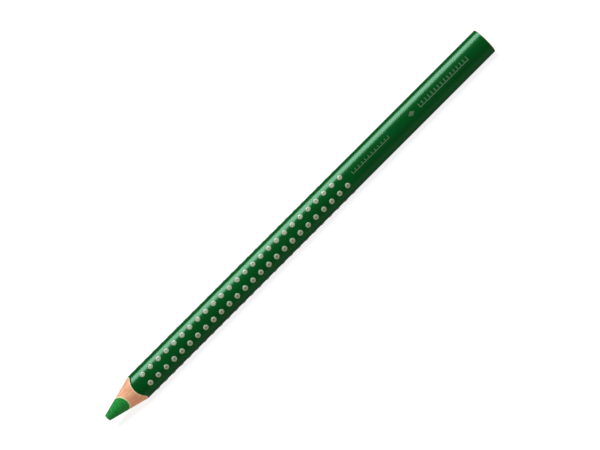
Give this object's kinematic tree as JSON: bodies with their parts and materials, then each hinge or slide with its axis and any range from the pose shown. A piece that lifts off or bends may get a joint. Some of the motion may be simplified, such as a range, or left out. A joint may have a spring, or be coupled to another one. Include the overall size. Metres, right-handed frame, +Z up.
{
  "type": "jumbo colouring pencil",
  "caption": "Sharpened jumbo colouring pencil with a round coloured core, a rounded triangular lacquered wood barrel, raised grip dots and a flat butt end.",
  "frame": {"origin": "on the surface the pencil lies on, under the middle of its length and width", "axes": "+X along the barrel from the sharpened tip to the butt end, +Z up; the barrel lies on one of its faces, and the face with the foil marks looks towards -Y and +Z"},
  "size_m": [0.175, 0.01, 0.0098],
  "materials": {
    "lead": "waxy pigmented core, matt with faint sharpening marks",
    "wood": "raw softwood, freshly cut, unfinished",
    "glue": "dried clear glue stained by the core",
    "primer": "cream undercoat, matt",
    "colour_lacquer": "dark green lacquer",
    "clear_lacquer": "clear high gloss varnish over dark green lacquer",
    "grip_dots": "tacky grey-green varnish, satin",
    "foil": "muted grey-green stamping foil, satin"
  },
  "bodies": {
    "root": {"lead_core": "lead", "lead_glue_sleeve": "glue", "front_wood_slat": "wood", "rear_wood_slat": "wood", "top_glue_line": "glue", "bottom_glue_line": "glue", "primer_coat": "primer", "colour_coat": "colour_lacquer", "clear_coat": "clear_lacquer", "front_grip_dots_1": "grip_dots", "front_grip_dots_2": "grip_dots", "back_grip_dots_1": "grip_dots", "back_grip_dots_2": "grip_dots", "underside_grip_dots_1": "grip_dots", "underside_grip_dots_2": "grip_dots", "foil_scale_long": "foil", "foil_scale_short": "foil", "foil_lozenge": "foil"}
  },
  "joints": []
}
